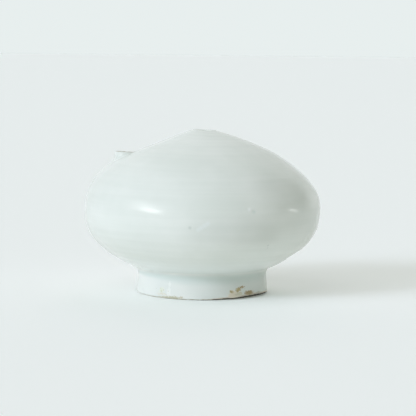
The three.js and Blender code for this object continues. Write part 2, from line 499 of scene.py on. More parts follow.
def middle_fans():
    """Faces from the first ring to the underside's middle, and from the last ring to the floor's."""
    under_middle = len(body_path) * COLUMNS
    floor_middle = under_middle + 1
    last = (len(body_path) - 1) * COLUMNS
    faces = []
    for column in range(COLUMNS):
        after = (column + 1) % COLUMNS
        faces.append((under_middle, after, column))
        faces.append((last + column, last + after, floor_middle))
    return faces


body_faces = open_shell() + middle_fans()
print("faces of the body:", len(body_faces))

# %% [markdown]
# Last, the body is told what its glaze did and where light and shade are painted on it. It wore off on the
# edge of the tip, where fingers press, and it pooled in the corner over the foot, whose deeper colour is
# partly painted shade. The steep hip above that corner is painted paler, as painted light from the floor
# below.

# %% The thrown body
TIP_WEAR, TIP_WEAR_WIDTH = 0.36, 0.7
# Where the pooled glaze and its painted shade lie in the corner over the foot.
SHADED_POOL_Z, SHADED_POOL_SIZE = 8.2, 1.5
# Where the hip is painted paler, as painted light from the floor below.
UNDERSIDE_LIGHT_Z, UNDERSIDE_LIGHT_SIZE = 12.0, 4.5
MIDDLES = [(0, 0, SEAT_Z + DISH_DEPTH), (0, 0, FLOOR_Z)]


def body_glaze():
    """What the glaze did at each corner of the body, with painted shade in the corner and painted light on
    the hip. The two middles have nothing of it.
    """
    _, radius, height, _ = rings
    bare, pool, painted_underside_light = (np.zeros(radius.shape) for _ in range(3))
    tip = slice(OUTER_START, INNER_START)
    bare[tip] = TIP_WEAR * ramp(radius[tip], TIP_RADIUS + TIP_WEAR_WIDTH, TIP_RADIUS)
    # Pooled glaze in the corner over the foot: partly real colour, partly painted shade.
    pool[OUTSIDE] = mound(height[OUTSIDE] - SHADED_POOL_Z, SHADED_POOL_SIZE)
    # Painted light: the hip above the corner is made paler, as if lit from the floor below.
    painted_underside_light[OUTSIDE] = mound(height[OUTSIDE] - UNDERSIDE_LIGHT_Z, UNDERSIDE_LIGHT_SIZE)
    on_rings = {"bare": bare, "pool": pool, "painted_underside_light": painted_underside_light}
    return {label: np.append(values, np.zeros(len(MIDDLES))) for label, values in on_rings.items()}


def thrown_body():
    corners = np.vstack([body_corners, MIDDLES])
    piece = make_piece("thrown_body", corners, body_faces, **body_glaze())
    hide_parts("upper_dome", "lower_bowl", "belly_slip")
    return piece


body = thrown_body()

# %% [markdown]
# The spout is a rolled stub of clay, pushed through the shoulder and smoothed down with slip. Its mouth
# was cut with a wire while the clay was soft: it dips towards the tip, where it meets the shoulder, it
# nods back a little, so its front is higher, and it isn't quite flat. The stub could be a Solidify shell
# on a Spin, but as rings round its own axis each column can end where the uneven shoulder is, outside and
# inside.

# %% The spout's mouth
SPOUT_COLUMNS = 72
MOUTH_CUT, MOUTH_DIP, MOUTH_NOD = 0.8, math.tan(math.radians(3)), math.tan(math.radians(2))
MOUTH_SWAY, MOUTH_SWAY_SIZE = 0.1, 5.0

spout_turn = 2 * np.pi * np.arange(SPOUT_COLUMNS) / SPOUT_COLUMNS
aside, ahead = np.cos(spout_turn), np.sin(spout_turn)


def shoulder_z(x, y):
    """Height of the uneven shoulder at these places."""
    rising = dome_path[::-1]
    radius = np.hypot(x, y)
    height = np.interp(radius, rising[:, 0], rising[:, 1])
    upward = np.interp(radius, rising[:, 0], outward(dome_path)[::-1, 1])
    return height + unevenness(np.column_stack([x, y, height])) / upward


def inner_drop(x, y):
    """How far below the outside the inner face lies, straight down."""
    rising = dome_path[::-1]
    return WALL / np.interp(np.hypot(x, y), rising[:, 0], outward(dome_path)[::-1, 1])


def round_spout(radius):
    """The x and y of a ring round the spout's axis."""
    return SPOUT_X + radius * aside, radius * ahead


wall_x, wall_y = round_spout(SPOUT_RADIUS)
sway = MOUTH_SWAY * slow_noise(np.column_stack([wall_x, wall_y, 0 * spout_turn]), MOUTH_SWAY_SIZE)
mouth = MOUTH_Z - MOUTH_CUT - SPOUT_RADIUS * (MOUTH_DIP * (1 + aside) + MOUTH_NOD * ahead) + sway
ground = shoulder_z(wall_x, wall_y)
rise = mouth - ground
print(f"the mouth stands {rise.min():.2f} to {rise.max():.2f} mm above the shoulder")

# %% [markdown]
# Outside, the stub's wall flares into the shoulder in a soft hollow of slip, where the glaze is a little
# deeper and its colour also carries painted shade. Its lip is round and worn through to the clay, most at
# the left. A Bevel modifier could round the lip, but the mouth hardly stands above the shoulder on the side
# of the tip, so each column has a lip that fits its height.

# %% The spout's outside
LIP_LEAST, LIP_MOST = 0.06, 0.45
LIP_TURN = (0, 30, 60, 90)
LIP_WEAR_FROM = math.radians(60)
FLARE_LEAST, FLARE_MOST, FLARE_SHARE = 0.8, 4.0, 0.8
FLARE_RINGS, FLARE_POOL_AND_SHADE = 9, 0.2
SUNK = 0.06

flare = np.clip(FLARE_SHARE * rise, FLARE_LEAST, FLARE_MOST)
flare_edge = shoulder_z(*round_spout(SPOUT_RADIUS + flare)) - SUNK


def spout_outside():
    """Rings (radius, height, bare, pool) from the shoulder up to the middle of the lip."""
    lip = np.clip(rise / 2, LIP_LEAST, LIP_MOST)
    top = mouth - lip
    wall_foot = np.minimum(ground + flare, top)
    hollow = np.minimum(ground, wall_foot)
    outside = []
    for t in np.linspace(0, 1, FLARE_RINGS):
        radius = SPOUT_RADIUS + flare * (1 - t) ** 2
        height = flare_edge * (1 - t) ** 2 + hollow * 2 * t * (1 - t) + wall_foot * t * t
        # Pooled glaze in the hollow of the flare: partly real colour, partly painted shade.
        outside.append((radius, height, 0, FLARE_POOL_AND_SHADE * math.sin(math.pi * t)))
    outside.append((SPOUT_RADIUS, (wall_foot + 2 * top) / 3, 0, 0))
    for angle in np.radians(LIP_TURN):
        wear = ramp(angle, LIP_WEAR_FROM * (1 + aside) / 2, math.pi / 2)
        outside.append((SPOUT_RADIUS - lip + lip * math.cos(angle), top + lip * math.sin(angle), wear, 0))
    return outside


stub_outside = spout_outside()
print("rings outside the stub:", len(stub_outside))

# %% [markdown]
# Inside, the bore runs straight down and ends flush with the inner face of the shoulder. A Boolean could
# cut it off there, but each column can simply end at its own depth.

# %% The spout's bore
INNER_LIP_WEAR = 0.6
BORE_SHARES = (0.25, 0.5, 0.75, 1)


def spout_inside():
    """Rings (radius, height, bare, pool) from the lip down the bore and back out under the shoulder."""
    lip_foot = mouth - LIP_MOST
    inside = []
    for angle in np.radians(LIP_TURN[::-1]):
        radius = BORE_RADIUS + LIP_MOST - LIP_MOST * math.cos(angle)
        inside.append((radius, lip_foot + LIP_MOST * math.sin(angle), INNER_LIP_WEAR, 0))
    bore_x, bore_y = round_spout(BORE_RADIUS)
    bore_end = shoulder_z(bore_x, bore_y) - inner_drop(bore_x, bore_y)
    for share in BORE_SHARES:
        inside.append((BORE_RADIUS, lip_foot * (1 - share) + bore_end * share, 0, 0))
    inside.append((SPOUT_RADIUS, ground - inner_drop(wall_x, wall_y), 0, 0))
    inside.append((SPOUT_RADIUS, np.minimum(ground, flare_edge) - WALL / 3, 0, 0))
    return inside


stub_inside = spout_inside()
print("rings inside the stub:", len(stub_inside))

# %% [markdown]
# The two stretches make one closed loop of rings. Every ring has a radius, a height and what the glaze
# did there, each as one number or as one for every column, and the stub takes the place of the solid
# spout and its slip.

# %% The spout
def rolled_spout():
    stub = stub_outside + stub_inside
    corners = [np.column_stack([*round_spout(radius), height]) for radius, height, _, _ in stub]
    bare = [np.broadcast_to(bare_here, spout_turn.shape) for _, _, bare_here, _ in stub]
    pool = [np.broadcast_to(pool_here, spout_turn.shape) for _, _, _, pool_here in stub]
    faces = ring_faces(len(stub), SPOUT_COLUMNS, closed=True)
    piece = make_piece("rolled_spout", np.vstack(corners), faces, bare=bare, pool=pool)
    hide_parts("spout", "spout_slip")
    return piece


spout = rolled_spout()

# %% [markdown]
# The foot ring was turned on the wheel and joined to the bowl with slip. Glaze ran down the belly and
# pooled in the corner between them, so the corner is a soft hollow, outside and inside. A Bevel modifier
# would round all its edges alike, so the section is drawn as one closed path, and its top ends inside the
# bowl.

# %% The foot's section
FOOT_EDGE = 0.6
FOOT_STEP = 0.45
POOL_RUN, POOL_DROP = 2.2, 2.4
WALL_FLARE, BORE_FLARE = 0.15, 0.1
BURIED = 1.0
REST_RINGS = 6


def bend(start, corner, end, steps=9):
    """A hollow corner from start to end."""
    t = np.linspace(0, 1, steps)[:, None]
    start, corner, end = (np.asarray(p, float) for p in (start, corner, end))
    return start * (1 - t) ** 2 + corner * 2 * t * (1 - t) + end * t * t


def foot_section():
    """The section of the foot, anticlockwise, from the inner end of its resting face outwards."""
    rim_in = FOOT_RIM_RADIUS - FOOT_WALL
    bore_top = FOOT_TOP_RADIUS - FOOT_WALL
    rest = np.linspace((rim_in + FOOT_EDGE, 0), (FOOT_RIM_RADIUS - FOOT_EDGE, 0), REST_RINGS)
    outer_edge = arc((FOOT_RIM_RADIUS - FOOT_EDGE, FOOT_EDGE), FOOT_EDGE, -90, 0)
    wall_top = (FOOT_TOP_RADIUS + WALL_FLARE, SEAT_Z - POOL_DROP)
    wall = evenly([outer_edge[-1], wall_top], FOOT_STEP)
    pool_end = FOOT_TOP_RADIUS + POOL_RUN
    pool_z = np.interp(pool_end, bowl_path[:, 0], bowl_path[:, 1])
    outer_pool = bend(wall_top, (FOOT_TOP_RADIUS, SEAT_Z), (pool_end, pool_z + SUNK))
    buried = [(FOOT_TOP_RADIUS - BURIED, SEAT_Z + BURIED), (bore_top + BURIED, SEAT_Z + BURIED)]
    dish_z = SEAT_Z + DISH_DEPTH * (1 - ((bore_top - POOL_RUN) / bore_top) ** 2)
    bore_wall_top = (bore_top + BORE_FLARE, SEAT_Z - POOL_DROP)
    inner_pool = bend((bore_top - POOL_RUN, dish_z + SUNK), (bore_top, SEAT_Z), bore_wall_top)
    inner_wall = evenly([bore_wall_top, (rim_in, FOOT_EDGE)], 2 * FOOT_STEP)
    inner_edge = arc((rim_in + FOOT_EDGE, FOOT_EDGE), FOOT_EDGE, 180, 270)
    return np.vstack([
        rest[:-1], outer_edge, wall[1:-1], outer_pool, buried,
        inner_pool, inner_wall[1:-1], inner_edge[:-1],
    ])


foot_path = foot_section()
print("rings of the foot:", len(foot_path))

# %% [markdown]
# The bottom edge was wiped before firing and has worn since. It is rounder towards the front right, where
# a dark gap opens under it, and small nicks run along it. It could be sculpted by hand, but as small
# shifts of the corners that go with the angle from the front, every mark stays a number that can be
# changed.

# %% The foot's worn edge
FOOT_SWAY, FOOT_SWAY_SIZE = 0.12, 9.0
WORN_HEIGHT = 3.2
NICK_DEPTH, NICK_SIZE = 0.22, 1.7
EDGE_ANGLES = (-110, -75, -40, -20, 0, 25, 48, 70, 110)
EDGE_LIFT = (0.05, 0.15, 0.15, 0.05, 0.0, 0.15, 0.36, 0.42, 0.1)


def along_edge(degrees, values):
    """A value that changes along the foot's bottom edge, by degrees from the front."""
    return np.interp(degrees, EDGE_ANGLES, values, period=360)


def true_foot():
    """The radius and the place of each corner of the true ring."""
    turn = 2 * np.pi * np.arange(COLUMNS) / COLUMNS
    radius = np.repeat(foot_path[:, :1], COLUMNS, axis=1)
    height = np.repeat(foot_path[:, 1:], COLUMNS, axis=1)
    places = np.stack([radius * np.cos(turn), radius * np.sin(turn), height], axis=-1)
    return radius.ravel(), places.reshape(-1, 3)


foot_radius, foot_places = true_foot()
outer_half = ramp(foot_radius, FOOT_RIM_RADIUS - FOOT_WALL / 2, FOOT_RIM_RADIUS - FOOT_EDGE)
from_front = np.degrees(np.arctan2(foot_places[:, 0], -foot_places[:, 1]))


def worn_foot():
    """The corners of the foot, uneven outside and worn along the bottom edge."""
    sway = FOOT_SWAY * slow_noise(foot_places, FOOT_SWAY_SIZE) * outer_half
    nick = NICK_DEPTH * np.maximum(0, slow_noise(foot_places + FOOT_WALL, NICK_SIZE))
    at_edge = outer_half * (1 - ramp(foot_places[:, 2], 0, WORN_HEIGHT))
    outward_share = 1 + (sway - nick * at_edge) / foot_radius
    shaped = foot_places.copy()
    shaped[:, :2] *= outward_share[:, None]
    shaped[:, 2] += (along_edge(from_front, EDGE_LIFT) + nick) * at_edge
    return shaped


foot_corners = worn_foot()
print("corners of the foot:", len(foot_corners))

# %% [markdown]
# The foot is told what its glaze did, too, and where shade is painted on it. Clay shows along the wiped
# edge, and the bottom edge is dark at the front right, partly burnt dirt and partly painted contact shade
# under the lifted edge. From the front round to the right, the pooled colour runs further down the wall as
# painted shade of the belly. These borders could be cut into the mesh, but as soft attributes the finish
# can fray them.

# %% The foot ring
# How far the painted shade of the belly runs down the foot's wall, by degrees from the front.
BELLY_SHADE_RUN, BELLY_SHADE_FROM, BELLY_SHADE_TO = 2.2, (-50, -12), (170, 110)
# How high the dark bottom edge reaches: partly burnt dirt, partly painted contact shade.
DIRT_AND_SHADE_REACH = (-0.4, -0.4, -0.08, 0.06, 0.15, 0.45, 0.85, 0.62, -0.3)
CLAY_REACH = (0.1, 0.1, 0.2, 0.25, 0.3, 1.0, 1.5, 1.2, 0.2)
EDGE_SOFTNESS = 0.8


def below(reach):
    """Rises softly from 0 to 1 below a border whose height changes along the bottom edge."""
    return np.clip(0.5 + (along_edge(from_front, reach) - foot_places[:, 2]) / EDGE_SOFTNESS, 0, 1)


def foot_marks():
    """What the glaze did at each corner of the foot, with painted shade from the belly and at the bottom
    edge.
    """
    height = foot_places[:, 2]
    # Painted shade: the belly's shadow on the foot's wall, as a longer pool at the front and the right.
    belly_shade = BELLY_SHADE_RUN * ramp(from_front, *BELLY_SHADE_FROM) * ramp(from_front, *BELLY_SHADE_TO)
    belly_shade = belly_shade * (height < SHADED_POOL_Z)
    return {
        "bare": below(CLAY_REACH),
        # Dark bottom edge: partly burnt dirt, partly painted contact shade.
        "dirt_and_shade": below(DIRT_AND_SHADE_REACH) * outer_half,
        "pool": mound(height - SHADED_POOL_Z, SHADED_POOL_SIZE + belly_shade),
    }


def turned_foot():
    faces = ring_faces(len(foot_path), COLUMNS, closed=True)
    piece = make_piece("turned_foot", foot_corners, faces, **foot_marks())
    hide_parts("foot_ring", "foot_slip")
    return piece


foot = turned_foot()

# %% [markdown]
# Sand from the kiln shelf stuck to the wet glaze of the foot and was fired on. The grains could be
# painted, but they stand proud and catch the light, so each one is a small crushed ball set into the wall
# of the foot. A seeded generator places them in small clusters at the front right and the front left, as
# the photograph shows.

# %% Kiln grit
GRIT_SEED = 11
GRIT_SIZES = (0.14, 0.36)
GRIT_SQUASH = (0.7, 1.2)
GRIT_DENT, GRIT_DENTS, GRIT_VARIETY = 0.5, 1.6, 9
GRIT_SINK = 0.35
GRIT_CLUSTERS = (
    {"angles": (25, 27.5), "heights": (2.7, 3.3), "count": 4},
    {"angles": (31, 35), "heights": (3.0, 4.0), "count": 9},
    {"angles": (35, 39), "heights": (4.2, 4.7), "count": 5},
    {"angles": (42, 49), "heights": (1.6, 2.6), "count": 12},
    {"angles": (-43, -27), "heights": (0.9, 3.9), "count": 7},
    {"angles": (-30, -16), "heights": (0.8, 1.4), "count": 8},
)


def crushed_ball(generator, size):
    """One grain as a small, dented, flattened ball."""
    ball = bmesh.new()
    bmesh.ops.create_icosphere(ball, subdivisions=2, radius=size / 2)
    squash = [generator.uniform(*GRIT_SQUASH) for _ in range(3)]
    offset = Vector([generator.uniform(-GRIT_VARIETY, GRIT_VARIETY) for _ in range(3)])
    for corner in ball.verts:
        dent = 1 + GRIT_DENT * noise.noise(corner.co / size * GRIT_DENTS + offset)
        corner.co = Vector([c * s * dent for c, s in zip(corner.co, squash)])
    corners = [tuple(corner.co) for corner in ball.verts]
    faces = [tuple(corner.index for corner in face.verts) for face in ball.faces]
    ball.free()
    return corners, faces


def kiln_grit():
    generator = random.Random(GRIT_SEED)
    corners, faces = [], []
    for cluster in GRIT_CLUSTERS:
        for _ in range(cluster["count"]):
            degrees = generator.uniform(*cluster["angles"])
            height = generator.uniform(*cluster["heights"])
            size = generator.uniform(*GRIT_SIZES)
            share = height / SEAT_Z
            radius = FOOT_RIM_RADIUS * (1 - share) + FOOT_TOP_RADIUS * share
            lift = along_edge(degrees, EDGE_LIFT) / 2
            angle = math.radians(degrees)
            seat = Vector((radius * math.sin(angle), -radius * math.cos(angle), height + lift))
            seat -= seat.normalized() * size * GRIT_SINK / 2
            grain, grain_faces = crushed_ball(generator, size)
            first = len(corners)
            corners += [(x + seat.x, y + seat.y, z + seat.z) for x, y, z in grain]
            faces += [tuple(first + index for index in face) for face in grain_faces]
    return make_piece("kiln_grit", corners, faces)


grit = kiln_grit()

# %% [markdown]
# Finishes are node trees, and a tree is easier to read when a short call adds a node, sets it and links
# it. Inputs are given by name or by number, and a value that is a socket is linked.

# %% Node helpers
def add(tree, kind, inputs=None, **settings):
    made = tree.nodes.new("ShaderNode" + kind)
    for label, value in settings.items():
        setattr(made, label, value)
    for key, value in (inputs or {}).items():
        if isinstance(value, bpy.types.NodeSocket):
            tree.links.new(value, made.inputs[key])
        else:
            made.inputs[key].default_value = value
    return made


def math_node(tree, operation, first, second):
    return add(tree, "Math", {0: first, 1: second}, operation=operation).outputs[0]


def spread(tree, value, start, end, low=0.0, high=1.0):
    """A value, mapped smoothly from start..end to low..high."""
    inputs = {"Value": value, "From Min": start, "From Max": end, "To Min": low, "To Max": high}
    return add(tree, "MapRange", inputs, interpolation_type="SMOOTHSTEP").outputs[0]


def tint(tree, share, under, over):
    """A colour over another one, by share."""
    return add(tree, "Mix", {0: share, 6: under, 7: over}, data_type="RGBA").outputs[2]


def attribute(tree, name):
    return add(tree, "Attribute", attribute_name=name).outputs["Fac"]


def opaque(red, green, blue):
    return (red, green, blue, 1)


# %% [markdown]
# An effect that comes back is built once, as a shader group with named inputs and outputs. It could be
# repeated in every finish, but a group is changed in one place. Groups here put out only masks and
# values, and the shader stays in the finish.

# %% Group helpers
def new_group(name, inputs, outputs):
    """A shader group with inputs {name: default}, and the outputs of its input node."""
    group = bpy.data.node_groups.new(name, "ShaderNodeTree")
    for label, default in inputs.items():
        kind = "NodeSocketFloat" if isinstance(default, (int, float)) else "NodeSocketVector"
        group.interface.new_socket(label, in_out="INPUT", socket_type=kind).default_value = default
    for label in outputs:
        group.interface.new_socket(label, in_out="OUTPUT", socket_type="NodeSocketFloat")
    return group, group.nodes.new("NodeGroupInput").outputs


def close_group(group, **results):
    out = group.nodes.new("NodeGroupOutput")
    for label, socket in results.items():
        group.links.new(socket, out.inputs[label])
    print("shader group:", group.name)
    return group


def use(tree, group, **inputs):
    return add(tree, "Group", inputs, node_tree=group).outputs


# %% [markdown]
# Porcelain glaze is a glass a few tenths of a millimetre thick. Where it is a little thicker the clay
# under it looks bluer and darker, in broad clouds, and the throwing rings show through as faint level
# bands. Its surface is smooth but not optically flat. Light scattered under the surface could give this
# depth, but so thin a layer shows only as colour. So this group gives the clouds, the bands and the fine
# ripple as plain values, for every glaze.

# %% Glaze thickness
CLOUD_SCALE = 42
BAND_SCALE = (14, 14, 420)
RIPPLE_SCALE = 330
THICKNESS_RANGE = (0.3, 0.7)


def glaze_thickness():
    group, _ = new_group("Glaze Thickness", {}, ("Clouds", "Bands", "Ripple"))
    place = add(group, "TexCoord").outputs["Object"]
    cloud = {"Vector": place, "Scale": CLOUD_SCALE, "Detail": 3, "Roughness": 0.5}
    clouds = add(group, "TexNoise", cloud).outputs[0]
    level = add(group, "Mapping", {"Vector": place, "Scale": BAND_SCALE}).outputs[0]
    bands = add(group, "TexNoise", {"Vector": level, "Scale": 1, "Detail": 2, "Roughness": 0.6}).outputs[0]
    ripple = add(group, "TexNoise", {"Vector": place, "Scale": RIPPLE_SCALE, "Detail": 1}).outputs[0]
    return close_group(
        group,
        Clouds=spread(group, clouds, *THICKNESS_RANGE),
        Bands=spread(group, bands, *THICKNESS_RANGE),
        Ripple=ripple,
    )


thickness = glaze_thickness()

# %% [markdown]
# Where an edge was wiped before firing or has worn since, the glaze stops in a ragged line and the clay
# shows. It could be painted corner by corner, but the mesh is too coarse for a ragged line. So the mesh
# says roughly where the edge is, and this group frays the border.

# %% Worn edges
FRAY_SCALE = 750
WORN_BORDER = (0.4, 0.6)


def worn_edge():
    group, given = new_group("Worn Edge", {"Bare": 0.0, "Fray": 0.5}, ("Mask",))
    place = add(group, "TexCoord").outputs["Object"]
    grain = add(group, "TexNoise", {"Vector": place, "Scale": FRAY_SCALE, "Detail": 3}).outputs[0]
    centred = math_node(group, "SUBTRACT", grain, 0.5)
    frayed = math_node(group, "MULTIPLY", centred, given["Fray"])
    edge = math_node(group, "ADD", given["Bare"], frayed)
    return close_group(group, Mask=spread(group, edge, *WORN_BORDER))


worn = worn_edge()

# %% [markdown]
# A few flaws can be pointed at: a blister and pinholes on the belly, where gas came out of the glaze, and a
# pale patch. The blister is painted lighter and a spot beside it darker, as painted light and painted shade
# on its two sides, and the pinholes are painted darker, as painted shade inside them. They could be
# modelled, but they are only a few faces of the mesh wide. Each is a soft spot round one point instead, so
# one group takes the point and the radius in metres.

# %% Flaws in the glaze
def glaze_flaw():
    group, given = new_group("Glaze Flaw", {"Centre": (0, 0, 0), "Radius": MM}, ("Mask",))
    place = add(group, "TexCoord").outputs["Object"]
    ends = {0: place, 1: given["Centre"]}
    apart = add(group, "VectorMath", ends, operation="DISTANCE").outputs["Value"]
    share = math_node(group, "DIVIDE", apart, given["Radius"])
    return close_group(group, Mask=spread(group, share, 1, 0))


flaw = glaze_flaw()
outline = np.vstack([bowl_path, dome_path])


def on_belly(degrees, height):
    """A place in metres on the belly's front, by its angle from the front and its height in millimetres."""
    angle = math.radians(degrees)
    reach = np.interp(height, outline[:, 1], outline[:, 0])
    return Vector((reach * math.sin(angle), -reach * math.cos(angle), height)) * MM


# %% [markdown]
# The foot carries stains in known places: bare, pinkish clay, ochre crumbs of iron, olive sand and a pale
# drip. They could be painted on an unwrapped wall, but a place on the foot is easier to name by its angle
# and its height. So one group marks an oval by angle from the front, in degrees, and height, in
# millimetres. Its fray makes the border ragged, and its gaps break it up into crumbs.

# %% Stains on the foot
STAIN_BORDER = (1.2, 0.6)
STAIN_INPUTS = {
    "Angle": 0.0, "Spread": 10.0, "Height": 2.0, "Rise": 2.0, "Fray": 0.5, "Gaps": 0.0, "Grain": 600.0,
}


def share_of(group, value, middle, reach):
    """How far a value lies from a middle, as a share of a reach."""
    return math_node(group, "DIVIDE", math_node(group, "SUBTRACT", value, middle), reach)


def foot_stain():
    group, given = new_group("Foot Stain", STAIN_INPUTS, ("Mask",))
    place = add(group, "TexCoord").outputs["Object"]
    axes = add(group, "SeparateXYZ", {0: place}).outputs
    forward = math_node(group, "MULTIPLY", axes["Y"], -1)
    turned = math_node(group, "ARCTAN2", axes["X"], forward)
    degrees = math_node(group, "MULTIPLY", turned, math.degrees(1))
    sideways = share_of(group, degrees, given["Angle"], given["Spread"])
    height = math_node(group, "MULTIPLY", axes["Z"], 1 / MM)
    upward = share_of(group, height, given["Height"], given["Rise"])
    squares = [math_node(group, "POWER", share, 2) for share in (sideways, upward)]
    apart = math_node(group, "SQRT", math_node(group, "ADD", *squares), 0)
    grain = add(group, "TexNoise", {"Vector": place, "Scale": given["Grain"], "Detail": 3}).outputs[0]
    frayed = math_node(group, "MULTIPLY", math_node(group, "SUBTRACT", grain, 0.5), given["Fray"])
    ragged = math_node(group, "ADD", frayed, given["Gaps"])
    reach = math_node(group, "ADD", apart, ragged)
    return close_group(group, Mask=spread(group, reach, *STAIN_BORDER))


stain = foot_stain()

# %% [markdown]
# The finishes of the vessel end alike: one shader takes a colour, a roughness and a relief. The relief
# could move the mesh itself, but it is shallow and fine, so a Bump node only tilts the normals.

# %% One glossy surface
GLAZE_IOR = 1.5


def new_material(name):
    material = bpy.data.materials.new(name)
    material.use_nodes = True
    material.node_tree.nodes.clear()
    return material, material.node_tree


def finish_surface(tree, colour, roughness, height):
    """Ends a finish's tree: one shader with this colour, roughness and relief in millimetres."""
    relief = add(tree, "Bump", {"Height": height, "Strength": 1, "Distance": MM}).outputs[0]
    shader = add(tree, "BsdfPrincipled", {
        "Base Color": colour, "Roughness": roughness, "Normal": relief, "IOR": GLAZE_IOR,
    })
    out = add(tree, "OutputMaterial")
    tree.links.new(shader.outputs[0], out.inputs["Surface"])


print("refractive index of the glaze:", GLAZE_IOR)

# %% [markdown]
# The body and the spout share one finish: a hard, clear, glossy glaze over white clay. Its colour runs from
# near white where it is thin to blue-green grey where it pooled, with painted shade in the pooled corners
# and painted light on the hip above the foot. Rims are bare and stained brown by use. The glaze could be a
# coat over a second, matt layer, but on white clay one glossy shader looks the same, and its colour, gloss
# and relief all come from the masks above.

# %% The porcelain glaze
GLAZE_PALE = opaque(0.83, 0.845, 0.795)
GLAZE_DEEP = opaque(0.735, 0.765, 0.708)
# Deeper colour of pooled glaze, which also stands for painted shade in corners and beside the blister.
GLAZE_POOL_AND_SHADE = opaque(0.72, 0.765, 0.715)
# Paler colour of the painted light on the hip above the foot.
PAINTED_UNDERSIDE_LIGHT = opaque(0.85, 0.875, 0.84)
# Darker colour of the painted shade inside the pinholes.
PINHOLE_SHADE = opaque(0.66, 0.695, 0.645)
# A slightly lighter, bluish colour for a pale patch on the belly.
PALE_PATCH = opaque(0.825, 0.855, 0.82)
# Paler colour of the painted light on the blister's lit side.
BLISTER_PAINTED_LIGHT = opaque(0.89, 0.90, 0.87)
CLAY_STAIN = opaque(0.57, 0.54, 0.47)
FLAWS = (
    # name, degrees from the front, height in mm, radius in mm, relief in mm, colour
    # The blister: a real bump, painted lighter as painted light.
    ("blister", 22.7, 35.3, 1.3, 0.17, BLISTER_PAINTED_LIGHT),
    # Beside the blister: a shallow hollow painted darker as the blister's painted shade.
    ("painted shade by the blister", 24.6, 34.6, 1.2, -0.03, GLAZE_POOL_AND_SHADE),
    # Pinholes: tiny hollows, painted darker as painted shade inside them.
    ("pinhole", -5.6, 29.0, 1.0, -0.02, PINHOLE_SHADE),
    ("low pinhole", 34.5, 21.9, 0.7, -0.02, PINHOLE_SHADE),
    ("lowest pinhole", 34.9, 20.9, 0.5, -0.02, PINHOLE_SHADE),
    # A pale patch made of four overlapping soft spots, lighter than the glaze around it.
    ("pale patch", -1.7, 28.3, 1.3, 0, PALE_PATCH),
    ("pale patch's lower half", -0.4, 29.0, 1.4, 0, PALE_PATCH),
    ("pale patch's upper half", 1.1, 29.8, 1.5, 0, PALE_PATCH),
    ("pale patch's end", 2.6, 30.6, 1.4, 0, PALE_PATCH),
)
CLOUD_SHARE, BAND_SHARE = 0.55, 0.25
RIPPLE_DEPTH = 0.012
GLOSS, WORN_ROUGHNESS = (0.16, 0.21), 0.4


def porcelain_glaze():
    material, tree = new_material("porcelain_glaze")
    layer = use(tree, thickness)
    bands = math_node(tree, "MULTIPLY", layer["Bands"], BAND_SHARE)
    clouds = math_node(tree, "MULTIPLY", layer["Clouds"], CLOUD_SHARE)
    colour = tint(tree, math_node(tree, "ADD", clouds, bands), GLAZE_PALE, GLAZE_DEEP)
    # Painted light on the hip above the foot.
    colour = tint(tree, attribute(tree, "painted_underside_light"), colour, PAINTED_UNDERSIDE_LIGHT)
    # Pooled glaze, partly real colour and partly painted shade in the corners.
    colour = tint(tree, attribute(tree, "pool"), colour, GLAZE_POOL_AND_SHADE)
    height = math_node(tree, "MULTIPLY", layer["Ripple"], RIPPLE_DEPTH)
    for label, degrees, level, radius, relief, flaw_colour in FLAWS:
        mask = use(tree, flaw, Centre=on_belly(degrees, level), Radius=radius * MM)["Mask"]
        mask.node.label = label
        colour = tint(tree, mask, colour, flaw_colour)
        height = math_node(tree, "ADD", height, math_node(tree, "MULTIPLY", mask, relief))
    edge = use(tree, worn, Bare=attribute(tree, "bare"), Fray=1)["Mask"]
    colour = tint(tree, edge, colour, CLAY_STAIN)
    gloss = spread(tree, layer["Clouds"], 0, 1, *GLOSS)
    roughness = math_node(tree, "ADD", gloss, math_node(tree, "MULTIPLY", edge, WORN_ROUGHNESS))
    finish_surface(tree, colour, roughness, height)
    return material


glaze = porcelain_glaze()
for piece in (body, spout):
    piece.data.materials.append(glaze)
print("glaze nodes:", len(glaze.node_tree.nodes))

# %% [markdown]
# The kiln left its marks on the foot's wall: bare clay, crumbs of iron, olive sand and a pale drip. They
# could be scattered at random, but there are few and each one is seen, so a table gives every mark its
# place, its size, its colour and its border.

